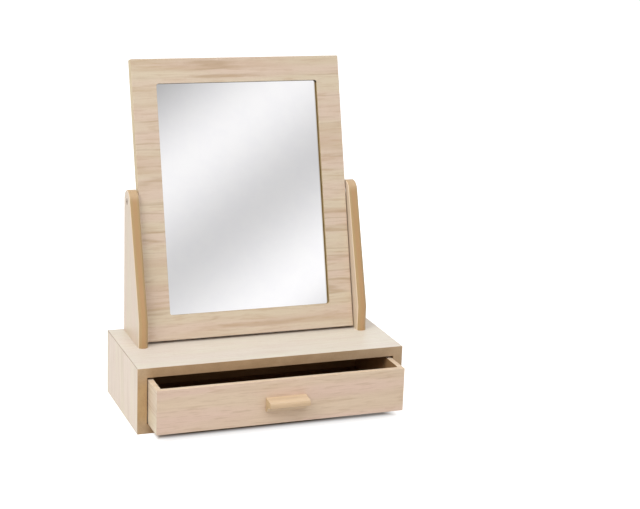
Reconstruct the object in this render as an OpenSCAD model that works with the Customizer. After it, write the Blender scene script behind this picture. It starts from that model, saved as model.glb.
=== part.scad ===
// Dressing table mirror: a tilting mirror between two posts on a box with one drawer.
// X runs along the front, from left to right. Y runs from front to back. Z is up.
// The origin is on the ground, under the middle of the box.

/* [Box] */
// Width of the box
box_w = 280; // [270:1:400]
// Depth of the box, front to back
box_d = 126; // [110:1:200]
// Height of the box
box_h = 68; // [56:1:120]
// Thickness of the box's four boards
board_t = 10; // [8:0.5:14]
// Thickness of the hardboard back panel
back_t = 2.5; // [2:0.5:4]
// Width of the back panel's seat on each board
back_lap = 5; // [4:0.5:6]

/* [Posts] */
// Thickness of a post
post_t = 10; // [9:0.5:16]
// Distance from the box's side face to the post's outer face
post_set_in = 16.5; // [14:0.5:40]
// Depth of a post's foot, front to back
foot_d = 68; // [48:1:90]
// Height of the upright stretch at a foot's front and back
foot_rise = 26; // [10:1:60]
// Radius of a post's round head
head_r = 12; // [9:0.5:16]
// Distance from the box's back face to the middle of a post's head
head_set_in = 15; // [12:0.5:24]
// Radius of the rounding along a post's head
head_edge_r = 1.5; // [0.5:0.25:4]
// Radius of the rounding along a post's foot
foot_edge_r = 4.5; // [0.5:0.25:4.5]

/* [Mirror] */
// Height of the mirror's frame
frame_h = 287; // [200:1:360]
// Thickness of the mirror's frame
frame_t = 10; // [10:0.5:16]
// Width of the border round the window
border = 25.5; // [25:0.5:45]
// Corner radius of the window
window_r = 2.5; // [1:0.25:6]
// Width of the small bevel round the window's front edge
window_bevel = 0.8; // [0.2:0.1:1.5]
// Depth from the frame's front face to the glass
lip_t = 3; // [2.5:0.25:3.5]
// Thickness of the mirror glass
glass_t = 2; // [1.5:0.5:2.5]
// Width of the glass behind the border, on each side
glass_lap = 5; // [3:0.5:6]
// Thickness of the hardboard behind the glass
backing_t = 3; // [2:0.5:3]
// Width of the backing board's own seat, on each side
backing_lap = 8; // [7:0.5:9]
// How far the mirror leans back when it rests on the box
lean = 15.4; // [8:0.2:30]

/* [Drawer] */
// Thickness of the drawer's front, sides and back
drawer_t = 5.5; // [5:0.5:8]
// Thickness of the drawer's bottom panel
bottom_t = 3; // [2:0.5:4]
// Height of the bottom panel above the drawer's lower edge
bottom_rise = 5; // [3:0.5:8]
// Depth of the groove that holds the bottom panel
groove_d = 3; // [2:0.5:3.5]
// How far the drawer stands open
drawer_open = 32; // [0:1:60]
// Free height over the drawer
gap_over = 2.3; // [1:0.1:4]
// Free height under the drawer
gap_under = 0.3; // [0.3:0.1:1]
// Free width on each side of the drawer
gap_side = 0.8; // [0.4:0.1:1.5]

/* [Handle] */
// Length of the handle
handle_w = 42; // [30:1:80]
// Height of the handle where it meets the drawer
handle_h = 14.5; // [13:0.5:18]
// How far the handle stands out
handle_out = 14.5; // [13:0.5:20]
// Radius of the handle's nose
nose_r = 3; // [2.5:0.25:3.5]
// Height of the nose's middle above the handle's middle
nose_up = 2.4; // [2:0.2:3]
// Radius of the finger hollow under the handle
cove_r = 11; // [10:0.5:12]
// How far the finger hollow bites into the nose
cove_bite = 0.5; // [0.3:0.1:0.8]
// Height of the handle's middle below the drawer's middle
handle_drop = 1.6; // [-6:0.2:6]
// Place of the handle to the right of the drawer's middle
handle_shift = 2.5; // [-40:0.5:40]

/* [Fasteners] */
// Shank radius of the two pivot screws
pivot_r = 2; // [1.5:0.1:2.2]
// Head radius of the two pivot screws
pivot_head_r = 3.6; // [3:0.1:4.5]
// Depth of the pivot screws in the frame
pivot_grip = 11; // [6:0.5:11]
// Outer radius of the washers between post and frame
washer_r = 4.5; // [3.5:0.25:4.8]
// Thickness of the washers
washer_t = 0.7; // [0.5:0.1:1]
// Shank radius of the screws that hold the posts
post_screw_r = 1.75; // [1.5:0.05:2]
// Head radius of the screws that hold the posts
post_screw_head_r = 3.5; // [3:0.1:4]
// Depth of those screws in a post
post_screw_grip = 15; // [10:1:20]
// Distance of those screws from a foot's front and back
post_screw_inset = 14; // [8:1:18]
// Shank radius of the small screws in the backing board and the handle
small_screw_r = 1.25; // [1:0.05:1.4]
// Head radius of those small screws
small_head_r = 2.4; // [2:0.1:2.6]
// Head height of those small screws
small_head_t = 1.4; // [1:0.1:1.6]
// Depth of the backing board's screws in the frame
backing_grip = 3.5; // [2:0.25:3.75]
// Depth of the handle's screws in the handle
handle_grip = 8; // [5:0.5:9]
// Distance between the handle's two screws
handle_screw_gap = 20; // [12:1:22]
// Distance between neighbours in the backing board's side rows
backing_step_z = 88; // [60:1:95]
// Distance between the two screws in the backing board's end rows
backing_step_x = 110; // [60:1:130]
// Shank radius of the panel pins
pin_r = 0.6; // [0.5:0.05:0.8]
// Head radius of the panel pins
pin_head_r = 1.2; // [1:0.1:1.4]
// Head thickness of the panel pins
pin_head_t = 0.4; // [0.3:0.1:0.5]
// Length of the panel pins
pin_l = 9; // [8:0.5:10]
// Distance between neighbours in the back panel's long rows
back_pin_step = 88; // [60:1:110]
// Distance between neighbours in the drawer bottom's row
drawer_pin_step = 86; // [60:1:110]

/* [Clearances] */
// Play of each screw, pin and shank in its hole
hole_play = 0.05; // [0.02:0.01:0.1]
// Free depth past the tip of a screw or pin
tip_play = 0.4; // [0.2:0.1:0.5]
// Play round a loose panel in its seat
panel_play = 0.25; // [0.1:0.05:0.5]
// Gap between the frame and each post
frame_gap = 1.2; // [1:0.1:2]
// Height of the mirror's resting edge above the box
rest_gap = 0.3; // [0.2:0.05:0.5]
// Free depth behind the closed drawer
gap_behind = 0.5; // [0.3:0.1:2]

/* [Hidden] */
$fn = 64;

LEFT = -1;
RIGHT = 1;
// How far a cutting shape runs past the face that it opens
past = 1;
// Radius of a point's tip as a share of its shank's
tip_share = 0.25;
// Sides of the round bars that a post's body is drawn around
bar_sides = 24;

veneer = [0.86, 0.77, 0.66];
raw_edge = [0.71, 0.58, 0.42];
solid_wood = [0.87, 0.76, 0.61];
hardboard = [0.42, 0.30, 0.20];
silver = [0.80, 0.83, 0.85];
steel = [0.62, 0.63, 0.65];
nylon = [0.90, 0.90, 0.86];

back_seat_d = back_t + pin_head_t;
hollow_w = box_w - 2 * board_t;
hollow_h = box_h - 2 * board_t;
back_w = hollow_w + 2 * back_lap;
back_h = hollow_h + 2 * back_lap;

post_x = box_w / 2 - post_set_in - post_t / 2;
foot_back = box_d / 2;
foot_front = foot_back - foot_d;
pivot_y = foot_back - head_set_in;
pivot_rise = frame_h / 2 * cos(lean) + frame_t / 2 * sin(lean) + rest_gap;
pivot_z = box_h + pivot_rise;

frame_w = 2 * post_x - post_t - 2 * frame_gap;
window_w = frame_w - 2 * border;
window_h = frame_h - 2 * border;
glass_w = window_w + 2 * glass_lap;
glass_h = window_h + 2 * glass_lap;
backing_w = glass_w + 2 * backing_lap;
backing_h = glass_h + 2 * backing_lap;
glass_front = -frame_t / 2 + lip_t;
backing_front = glass_front + glass_t;

drawer_w = hollow_w - 2 * gap_side;
drawer_h = hollow_h - gap_over - gap_under;
drawer_d = box_d - back_seat_d - gap_behind;
drawer_y = -box_d / 2 - drawer_open;
drawer_z = board_t + gap_under;
handle_z = drawer_h / 2 - handle_drop;

// Small shared shapes

module rounded_rect(w, h, r) {
    square([w - 2 * r, h], center = true);
    square([w, h - 2 * r], center = true);
    for (x = [-1, 1], y = [-1, 1])
        translate([x * (w / 2 - r), y * (h / 2 - r)])
            circle(r = r);
}

// A board that is thinner along Y than along X and Z, from front to front + t
module upright_board(w, h, front, t) {
    translate([-w / 2, front, -h / 2])
        cube([w, t, h]);
}

// A rounded board that is upright in the same way
module upright_rounded(w, h, r, front, t) {
    translate([0, front + t, 0])
        rotate([90, 0, 0])
            linear_extrude(height = t)
                rounded_rect(w, h, r);
}

// Every screw and pin points along +Z, with the work's surface at z = 0.
module countersunk(shank_r, head_r, length) {
    cylinder(r1 = head_r, r2 = shank_r, h = head_r - shank_r);
    cylinder(r = shank_r, h = length);
}

module countersunk_screw(shank_r, head_r, length) {
    countersunk(shank_r, head_r, length - shank_r);
    translate([0, 0, length - shank_r])
        cylinder(r1 = shank_r, r2 = shank_r * tip_share, h = shank_r);
}

module countersunk_hole(shank_r, head_r, length) {
    countersunk(shank_r + hole_play, head_r + hole_play, length + tip_play);
    translate([0, 0, -past])
        cylinder(r = head_r + hole_play, h = past);
}

module flat_head_pin(shank_r, head_r, head_t, length) {
    translate([0, 0, -head_t])
        cylinder(r = head_r, h = head_t);
    cylinder(r = shank_r, h = length - shank_r);
    translate([0, 0, length - shank_r])
        cylinder(r1 = shank_r, r2 = shank_r * tip_share, h = shank_r);
}

module plain_hole(shank_r, length) {
    translate([0, 0, -past])
        cylinder(r = shank_r + hole_play, h = past + length + tip_play);
}

// The box

module mitred_board(length) {
    translate([0, box_d / 2, 0])
        rotate([90, 0, 0])
            linear_extrude(height = box_d)
                polygon([
                    [-length / 2, 0],
                    [length / 2, 0],
                    [length / 2 - board_t, board_t],
                    [-length / 2 + board_t, board_t]
                ]);
}

module back_seat() {
    translate([-back_w / 2, box_d / 2 - back_seat_d, box_h / 2 - back_h / 2])
        cube([back_w, back_seat_d + past, back_h]);
}

module at_back_pins() {
    pin_x = back_w / 2 - back_lap / 2;
    pin_z = back_h / 2 - back_lap / 2;
    for (spot = [
        [-pin_x, 0], [pin_x, 0],
        [-back_pin_step, -pin_z], [0, -pin_z], [back_pin_step, -pin_z],
        [-back_pin_step, pin_z], [0, pin_z], [back_pin_step, pin_z]
    ])
        translate([spot[0], box_d / 2 - pin_head_t, box_h / 2 + spot[1]])
            rotate([90, 0, 0])
                children();
}

module at_post_screws(side) {
    for (y = [foot_front + post_screw_inset, foot_back - post_screw_inset])
        translate([side * post_x, y, box_h - board_t])
            children();
}

module carcass_bottom() {
    color(veneer)
        difference() {
            mitred_board(box_w);
            back_seat();
            at_back_pins() plain_hole(pin_r, pin_l);
        }
}

module carcass_top() {
    color(veneer)
        difference() {
            translate([0, 0, box_h])
                rotate([0, 180, 0])
                    mitred_board(box_w);
            back_seat();
            at_back_pins() plain_hole(pin_r, pin_l);
            for (side = [LEFT, RIGHT])
                at_post_screws(side)
                    countersunk_hole(post_screw_r, post_screw_head_r, board_t + post_screw_grip);
        }
}

module carcass_side(side) {
    color(veneer)
        difference() {
            translate([side * box_w / 2, 0, box_h / 2])
                rotate([0, -90 * side, 0])
                    mitred_board(box_h);
            back_seat();
            at_back_pins() plain_hole(pin_r, pin_l);
        }
}

module carcass_back() {
    color(hardboard)
        difference() {
            translate([0, 0, box_h / 2])
                upright_board(
                    back_w - 2 * panel_play, back_h - 2 * panel_play,
                    box_d / 2 - back_seat_d, back_t
                );
            at_back_pins() plain_hole(pin_r, pin_l);
        }
}

module back_pins() {
    color(steel)
        at_back_pins() flat_head_pin(pin_r, pin_head_r, pin_head_t, pin_l);
}

// The posts

module at_pivot(side) {
    translate([side * post_x, pivot_y, pivot_z])
        rotate([0, -90 * side, 0])
            translate([0, 0, -post_t / 2])
                children();
}

// A post's body is the hull of a head with round edges and the upright round bars of its foot.
module post_body() {
    head_inset = post_t / 2 - head_edge_r;
    foot_inset = post_t / 2 - foot_edge_r;
    hull() {
        for (x = [-head_inset, head_inset])
            translate([x, pivot_y, pivot_z])
                rotate([0, 90, 0])
                    rotate_extrude()
                        translate([head_r - head_edge_r, 0])
                            circle(r = head_edge_r, $fn = bar_sides);
        for (x = [-foot_inset, foot_inset], y = [foot_front + foot_edge_r, foot_back - foot_edge_r])
            translate([x, y, box_h])
                cylinder(r = foot_edge_r, h = foot_rise, $fn = bar_sides);
    }
}

module post(side) {
    color(raw_edge)
        difference() {
            translate([side * post_x, 0, 0])
                post_body();
            at_pivot(side)
                countersunk_hole(pivot_r, pivot_head_r, post_t + past);
            at_post_screws(side)
                plain_hole(post_screw_r, board_t + post_screw_grip);
        }
}

module post_screws() {
    color(steel)
        for (side = [LEFT, RIGHT])
            at_post_screws(side)
                countersunk_screw(post_screw_r, post_screw_head_r, board_t + post_screw_grip);
}

// The mirror, made upright round its pivot axis and then leaned back

module leaned() {
    translate([0, pivot_y, pivot_z])
        rotate([-lean, 0, 0])
            children();
}

module at_backing_screws() {
    side_x = backing_w / 2 - backing_lap / 2;
    end_z = backing_h / 2 - backing_lap / 2;
    for (spot = [
        [-side_x, -backing_step_z], [-side_x, 0], [-side_x, backing_step_z],
        [side_x, -backing_step_z], [side_x, 0], [side_x, backing_step_z],
        [-backing_step_x / 2, -end_z], [backing_step_x / 2, -end_z],
        [-backing_step_x / 2, end_z], [backing_step_x / 2, end_z]
    ])
        translate([spot[0], backing_front + backing_t, spot[1]])
            rotate([90, 0, 0])
                children();
}

module window_cut() {
    upright_rounded(window_w, window_h, window_r, -frame_t / 2 - past, frame_t + 2 * past);
    hull() {
        upright_rounded(
            window_w + 2 * window_bevel, window_h + 2 * window_bevel,
            window_r + window_bevel, -frame_t / 2 - past, past
        );
        upright_rounded(window_w, window_h, window_r, -frame_t / 2 - past, past + window_bevel);
    }
}

module mirror_frame() {
    color(veneer)
        difference() {
            leaned()
                difference() {
                    upright_board(frame_w, frame_h, -frame_t / 2, frame_t);
                    window_cut();
                    upright_board(
                        glass_w + 2 * panel_play, glass_h + 2 * panel_play,
                        glass_front, frame_t
                    );
                    upright_board(
                        backing_w + 2 * panel_play, backing_h + 2 * panel_play,
                        backing_front, frame_t
                    );
                    at_backing_screws() plain_hole(small_screw_r, backing_t + backing_grip);
                }
            for (side = [LEFT, RIGHT])
                at_pivot(side)
                    plain_hole(pivot_r, post_t + frame_gap + pivot_grip);
        }
}

module mirror_glass() {
    color(silver)
        leaned()
            upright_board(glass_w, glass_h, glass_front, glass_t);
}

module mirror_backing() {
    color(hardboard)
        leaned()
            difference() {
                upright_board(backing_w, backing_h, backing_front, backing_t);
                at_backing_screws() plain_hole(small_screw_r, backing_t + past);
            }
}

module backing_screws() {
    color(steel)
        leaned()
            at_backing_screws()
                flat_head_pin(small_screw_r, small_head_r, small_head_t, backing_t + backing_grip);
}

module pivot_screw(side) {
    color(steel)
        at_pivot(side)
            countersunk_screw(pivot_r, pivot_head_r, post_t + frame_gap + pivot_grip);
}

module pivot_washer(side) {
    color(nylon)
        at_pivot(side)
            translate([0, 0, post_t + frame_gap - washer_t])
                difference() {
                    cylinder(r = washer_r, h = washer_t);
                    plain_hole(pivot_r, washer_t + past);
                }
}

// The drawer, made with its front face at y = 0 and its lower edge at z = 0

module in_drawer() {
    translate([0, drawer_y, drawer_z])
        children();
}

module bottom_groove() {
    groove_w = drawer_w - 2 * drawer_t + 2 * groove_d;
    translate([-groove_w / 2, drawer_t - groove_d, bottom_rise])
        cube([groove_w, drawer_d, bottom_t + panel_play]);
}

module at_drawer_pins() {
    for (x = [-drawer_pin_step, 0, drawer_pin_step])
        translate([x, drawer_d - drawer_t / 2, bottom_rise])
            children();
}

module at_handle() {
    translate([handle_shift, 0, handle_z])
        children();
}

module at_handle_screws() {
    at_handle()
        for (x = [-handle_screw_gap / 2, handle_screw_gap / 2])
            translate([x, drawer_t, nose_up])
                rotate([90, 0, 0])
                    children();
}

module drawer_front() {
    color(veneer)
        in_drawer()
            difference() {
                linear_extrude(height = drawer_h)
                    polygon([
                        [-drawer_w / 2, 0],
                        [drawer_w / 2, 0],
                        [drawer_w / 2 - drawer_t, drawer_t],
                        [-drawer_w / 2 + drawer_t, drawer_t]
                    ]);
                bottom_groove();
                at_handle_screws() plain_hole(small_screw_r, drawer_t + past);
            }
}

module drawer_side(side) {
    color(veneer)
        in_drawer()
            difference() {
                linear_extrude(height = drawer_h)
                    polygon([
                        [side * drawer_w / 2, 0],
                        [side * drawer_w / 2, drawer_d],
                        [side * (drawer_w / 2 - drawer_t), drawer_d],
                        [side * (drawer_w / 2 - drawer_t), drawer_t]
                    ]);
                bottom_groove();
            }
}

module drawer_back() {
    back_z = bottom_rise + bottom_t;
    color(veneer)
        in_drawer()
            difference() {
                translate([-drawer_w / 2 + drawer_t, drawer_d - drawer_t, back_z])
                    cube([drawer_w - 2 * drawer_t, drawer_t, drawer_h - back_z]);
                at_drawer_pins() plain_hole(pin_r, pin_l);
            }
}

module drawer_bottom() {
    panel_w = drawer_w - 2 * drawer_t + 2 * groove_d - 2 * panel_play;
    panel_front = drawer_t - groove_d + panel_play;
    color(hardboard)
        in_drawer()
            difference() {
                translate([-panel_w / 2, panel_front, bottom_rise])
                    cube([panel_w, drawer_d - panel_front, bottom_t]);
                at_drawer_pins() plain_hole(pin_r, pin_l);
            }
}

module drawer_pins() {
    color(steel)
        in_drawer()
            at_drawer_pins()
                flat_head_pin(pin_r, pin_head_r, pin_head_t, pin_l);
}

// Draws an outline along X: its x is the distance from the drawer, its y is the height.
module along_handle(length) {
    mirror([0, 1, 0])
        rotate([90, 0, 90])
            linear_extrude(height = length, center = true)
                children();
}

// A wedge with a round nose, less the round finger hollow below it
module handle_body() {
    nose_x = handle_out - nose_r;
    cove_x = nose_x + nose_r / 2;
    cove_y = nose_up - nose_r + cove_bite - cove_r;
    difference() {
        union() {
            along_handle(handle_w)
                polygon([
                    [0, -handle_h / 2],
                    [0, handle_h / 2],
                    [nose_x, nose_up + nose_r],
                    [cove_x, nose_up],
                    [cove_x, -handle_h / 2]
                ]);
            along_handle(handle_w)
                translate([nose_x, nose_up])
                    circle(r = nose_r);
        }
        along_handle(handle_w + 2 * past)
            translate([cove_x, cove_y])
                circle(r = cove_r);
    }
}

module drawer_handle() {
    color(solid_wood)
        in_drawer()
            difference() {
                at_handle() handle_body();
                at_handle_screws() plain_hole(small_screw_r, drawer_t + handle_grip);
            }
}

module handle_screws() {
    color(steel)
        in_drawer()
            at_handle_screws()
                flat_head_pin(small_screw_r, small_head_r, small_head_t, drawer_t + handle_grip);
}

carcass_top();
carcass_bottom();
carcass_side(LEFT);  // carcass_left
carcass_side(RIGHT);  // carcass_right
carcass_back();
back_pins();
post(LEFT);  // left_post
post(RIGHT);  // right_post
post_screws();
mirror_frame();
mirror_glass();
mirror_backing();
backing_screws();
pivot_screw(LEFT);  // left_pivot_screw
pivot_screw(RIGHT);  // right_pivot_screw
pivot_washer(LEFT);  // left_pivot_washer
pivot_washer(RIGHT);  // right_pivot_washer
drawer_front();
drawer_side(LEFT);  // drawer_left_side
drawer_side(RIGHT);  // drawer_right_side
drawer_back();
drawer_bottom();
drawer_pins();
drawer_handle();
handle_screws();
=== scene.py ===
# %% [markdown]
# # A dressing table mirror
# This lesson dresses the bare CAD model of a small tilting mirror on a box with one drawer.
# The CAD gives every piece its place. Blender gives it soft edges, wood grain and light.
# Each step says what the real piece is like, how it could be made, and why it is made this way.

# %% Load the frame
import math

import bmesh
import bpy
from mathutils import Matrix, Vector


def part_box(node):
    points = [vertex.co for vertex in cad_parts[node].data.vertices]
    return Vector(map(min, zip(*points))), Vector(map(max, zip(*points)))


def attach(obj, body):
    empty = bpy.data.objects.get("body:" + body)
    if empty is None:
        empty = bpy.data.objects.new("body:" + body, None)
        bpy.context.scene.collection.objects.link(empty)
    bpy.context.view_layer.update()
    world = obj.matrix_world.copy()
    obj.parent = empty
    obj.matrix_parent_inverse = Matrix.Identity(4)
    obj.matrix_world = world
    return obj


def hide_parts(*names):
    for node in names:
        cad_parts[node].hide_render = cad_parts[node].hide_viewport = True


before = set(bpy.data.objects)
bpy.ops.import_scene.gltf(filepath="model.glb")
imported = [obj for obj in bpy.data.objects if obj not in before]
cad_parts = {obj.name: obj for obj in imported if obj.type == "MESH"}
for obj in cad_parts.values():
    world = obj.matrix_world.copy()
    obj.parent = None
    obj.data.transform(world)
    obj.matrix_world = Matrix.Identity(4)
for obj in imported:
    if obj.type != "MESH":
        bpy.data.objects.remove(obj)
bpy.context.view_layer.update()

# %% [markdown]
# ## Units and colours
# Blender counts in metres and a joiner counts in millimetres, so sizes are written times MM.
# Colours are written as the 0 to 255 numbers that a picture editor shows. The shaders want
# linear light, so one small function turns the first into the second.

# %% Units and colours
MM = 0.001


def linear(value):
    """One channel from 0 to 255, as the linear light that a shader works with."""
    value = value / 255
    return value / 12.92 if value <= 0.04045 else ((value + 0.055) / 1.055) ** 2.4


def colour(red, green, blue):
    return (linear(red), linear(green), linear(blue), 1.0)


print("Middle grey is", round(linear(128), 3), "in linear light")

# %% [markdown]
# ## The camera
# The picture was taken from the left, a little above the mirror, with a long lens. A camera
# could be aimed with a Track To constraint, but that can't hold the small roll of the real
# one. Its three turns are known, so its axes are built from them and given as one matrix.

# %% Camera
CAMERA_PLACE = Vector((-0.50418, -1.48552, 0.58968))
CAMERA_YAW = 0.3685
CAMERA_PITCH = 0.2675
CAMERA_ROLL = 0.0368
FILM_WIDTH = 36
LENS = 89.626


def camera_turn(yaw, pitch, roll):
    """A camera looks along its own -Z, with +X to its right and +Y above it."""
    ahead = Vector((
        math.sin(yaw) * math.cos(pitch), math.cos(yaw) * math.cos(pitch), -math.sin(pitch),
    ))
    level = Vector((math.cos(yaw), -math.sin(yaw), 0))
    above = level.cross(ahead)
    right = math.cos(roll) * level + math.sin(roll) * above
    up = math.cos(roll) * above - math.sin(roll) * level
    return Matrix((right, up, -ahead)).transposed()


camera_angles = camera_turn(CAMERA_YAW, CAMERA_PITCH, CAMERA_ROLL).to_euler()
bpy.ops.object.camera_add(location=CAMERA_PLACE, rotation=camera_angles)
camera = bpy.context.object
camera.name = "camera"
camera.data.sensor_fit = "HORIZONTAL"
camera.data.sensor_width = FILM_WIDTH
camera.data.lens = LENS
bpy.context.scene.camera = camera
bpy.context.scene.view_settings.view_transform = "Standard"
print("Camera is", round(camera.location.length, 2), "m away, with a lens of", LENS, "mm")

# %% [markdown]
# ## Shader maths in Python
# A finish is a net of nodes. Wired by hand, even a sum takes four lines. So a small class
# wraps a socket, and Python's own signs add the Math node that does the same. Every other
# node comes from one method that takes its kind, its settings and its inputs.

# %% Shader maths
class Wire:
    """An output socket on which + - * and abs add Math nodes."""

    def __init__(self, graph, socket):
        self.graph = graph
        self.socket = socket

    def at(self, name):
        """Another output of the same node."""
        return Wire(self.graph, self.socket.node.outputs[name])

    def __add__(self, other):
        return self.graph.maths("ADD", self, other)

    def __sub__(self, other):
        return self.graph.maths("SUBTRACT", self, other)

    def __rsub__(self, other):
        return self.graph.maths("SUBTRACT", other, self)

    def __mul__(self, other):
        return self.graph.maths("MULTIPLY", self, other)

    def __abs__(self):
        return self.graph.maths("ABSOLUTE", self)

    __radd__ = __add__


def set_stops(ramp, stops):
    """Gives a colour ramp its stops, each a place from 0 to 1 and a colour."""
    while len(ramp.elements) < len(stops):
        ramp.elements.new(1.0)
    for element, (position, value) in zip(ramp.elements, stops):
        element.position = position
        element.color = value


class Graph:
    """The nodes of one finish or of the world."""

    def __init__(self, tree):
        tree.nodes.clear()
        self.tree = tree

    def add(self, kind, settings=None, inputs=None, output=0):
        """Adds a node of one kind and gives back one of its outputs."""
        node = self.tree.nodes.new("ShaderNode" + kind)
        for name, value in (settings or {}).items():
            if name == "stops":
                set_stops(node.color_ramp, value)
            else:
                setattr(node, name, value)
        for key, value in (inputs or {}).items():
            if isinstance(value, Wire):
                self.tree.links.new(value.socket, node.inputs[key])
            else:
                node.inputs[key].default_value = value
        return Wire(self, node.outputs[output]) if node.outputs else node

    def maths(self, operation, *values):
        return self.add("Math", {"operation": operation}, dict(enumerate(values)))

    def mix(self, share, first, second):
        """A colour that goes from the first to the second as the share goes from 0 to 1."""
        return self.add("Mix", {"data_type": "RGBA"}, {0: share, 6: first, 7: second}, output=2)

    def step(self, value, low, high):
        """A soft step from 0 at low to 1 at high."""
        return self.add(
            "MapRange", {"interpolation_type": "SMOOTHSTEP"},
            {"Value": value, "From Min": low, "From Max": high},
        )

    def vector(self, x, y, z):
        return self.add("CombineXYZ", inputs={0: x, 1: y, 2: z})

    def noise(self, vector, detail=2.0, roughness=0.5):
        """Soft random values from 0 to 1 that change about once per unit of the vector."""
        inputs = {"Vector": vector, "Scale": 1.0, "Detail": detail, "Roughness": roughness}
        return self.add("TexNoise", inputs=inputs)

    def place(self, turn=0.0, shift=(0, 0, 0)):
        """The x, y and z of a point on the piece, in metres, turned about X and then shifted."""
        point = self.add("TexCoord", output="Object")
        moves = {"Vector": point, "Rotation": (turn, 0, 0), "Location": shift}
        split = self.add("SeparateXYZ", inputs={0: self.add("Mapping", inputs=moves)})
        return split, split.at("Y"), split.at("Z")


print("Shader maths is ready")

# %% [markdown]
# ## The room's light
# The object stands on white, in soft light from all round with a little more from the upper
# left. A world of one plain strength gives the light from all round. What the camera and the
# mirror see of it is another matter: Light Path tells those rays apart, so the background
# can be white while the wood is lit at a plain level. A mirror shows nothing but its
# surroundings, so for glossy rays the world carries the soft grey bands of a photo studio.
# The bands lie across one axis, each at its own distance from the middle, and they are only
# in front of the mirror. Behind it the world is white.

# %% World
AMBIENT = 0.54
BAND_AXIS = (0.5536, -0.0694, -0.8299)
BAND_SPAN = 0.25
BAND_GREYS = [
    (-0.25, 215), (-0.1, 166), (-0.035, 248), (0.0125, 211),
    (0.0675, 255), (0.11, 200), (0.25, 232),
]
BANDS_FULL_Y, BANDS_GONE_Y = -0.5, -0.2
WHITE = colour(255, 255, 255)

world = bpy.data.worlds.new("studio")
world.use_nodes = True
bpy.context.scene.world = world
sky = Graph(world.node_tree)
direction = sky.add("TexCoord", output="Generated")
distance = sky.add(
    "VectorMath", {"operation": "DOT_PRODUCT"}, {0: direction, 1: BAND_AXIS}, output="Value"
)
share = sky.add(
    "MapRange", inputs={"Value": distance, "From Min": -BAND_SPAN, "From Max": BAND_SPAN}
)
stops = [
    ((at + BAND_SPAN) / (2 * BAND_SPAN), colour(grey, grey, grey)) for at, grey in BAND_GREYS
]
bands = sky.add("ValToRGB", {"stops": stops}, {0: share})
bands.socket.node.color_ramp.interpolation = "EASE"
ray = sky.add("LightPath", output="Is Camera Ray")
depth = sky.add("SeparateXYZ", inputs={0: direction}, output="Y")
shown = sky.mix(sky.step(depth, BANDS_FULL_Y, BANDS_GONE_Y), bands, WHITE)
seen = sky.mix(ray.at("Is Glossy Ray"), WHITE, shown)
straight = ray + ray.at("Is Glossy Ray") + ray.at("Is Transmission Ray")
plain = (AMBIENT, AMBIENT, AMBIENT, 1.0)
light = sky.mix(straight, plain, seen)
background = sky.add("Background", inputs={"Color": light, "Strength": 1.0})
sky.add("OutputWorld", inputs={"Surface": background})
print("World lights the wood at", AMBIENT)

# %% [markdown]
# ## Lamps
# Three large area lamps stand in for the soft boxes: the key lamp at the upper left, a
# weaker one in front and a faint one above. Size matters more than power here: the larger a
# lamp is against its distance, the softer the edge of every shadow.

# %% Lamps
def soft_box(name, place, aim, size, power):
    """A square area lamp at one point that faces another."""
    facing = (Vector(aim) - Vector(place)).to_track_quat("-Z", "Y")
    bpy.ops.object.light_add(type="AREA", location=place, rotation=facing.to_euler())
    lamp = bpy.context.object
    lamp.name = name
    lamp.data.size = size
    lamp.data.energy = power
    lamp.visible_glossy = False


OBJECT_MIDDLE = (0, 0, 0.15)
soft_box("key_lamp", (-1.6, -1.0, 1.9), OBJECT_MIDDLE, size=1.6, power=33)
soft_box("front_lamp", (0.1, -1.6, 1.7), OBJECT_MIDDLE, size=1.4, power=14.2)
soft_box("top_lamp", (-0.2, -0.3, 2.4), OBJECT_MIDDLE, size=1.6, power=4)

# %% [markdown]
# ## The floor
# The floor has to vanish into the white background, yet keep the dark line of shadow under
# the drawer. So it is a plain pale floor with a little glow, which lights nothing: only rays
# that come straight from the camera, by way of the mirror or through a clear piece see it.
# Beside the box the glow lifts the lit floor to white. Under the box there is no glow, and
# the floor there is painted browner, as painted shade, so the shadow is dark and warm. At the
# shadow's ends a little glow is painted in, as painted light, so it is paler there.
# In the mirror the glow fades far away, as the far floor of a studio does.

# %% Floor
FLOOR_SIZE = 60
GLOW = 0.8
# Each pair is where a soft step begins and ends, measured from the middle of the box.
RIGHT_OF_BOX = (112 * MM, 134 * MM)
LEFT_OF_BOX = (118 * MM, 126 * MM)
AHEAD_OF_BOX = (70.5 * MM, 83.5 * MM)
RIGHT_END, RIGHT_PAINTED_LIGHT = (30 * MM, 90 * MM), 0.17
LEFT_END, LEFT_PAINTED_LIGHT = (80 * MM, 118 * MM), 0.1
FAR_FLOOR, FAR_LOSS = (1.0, 12.0), 0.4
# Painted shade: the floor under the box is browner than the open floor.
PAINTED_SHADE_UNDER_BOX, OPEN_FLOOR = colour(172, 145, 110), colour(204, 203, 202)

bpy.ops.object.select_all(action="DESELECT")
bpy.ops.mesh.primitive_plane_add(size=FLOOR_SIZE, location=(0, 0, 0))
floor = bpy.context.object
floor.name = "floor"
floor_paint = bpy.data.materials.new("floor_paint")
floor_paint.use_nodes = True
graph = Graph(floor_paint.node_tree)
x, y, z = graph.place()
beside_x = graph.step(x, *RIGHT_OF_BOX) + graph.step(0 - x, *LEFT_OF_BOX)
beside_y = graph.step(abs(y), *AHEAD_OF_BOX)
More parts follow.
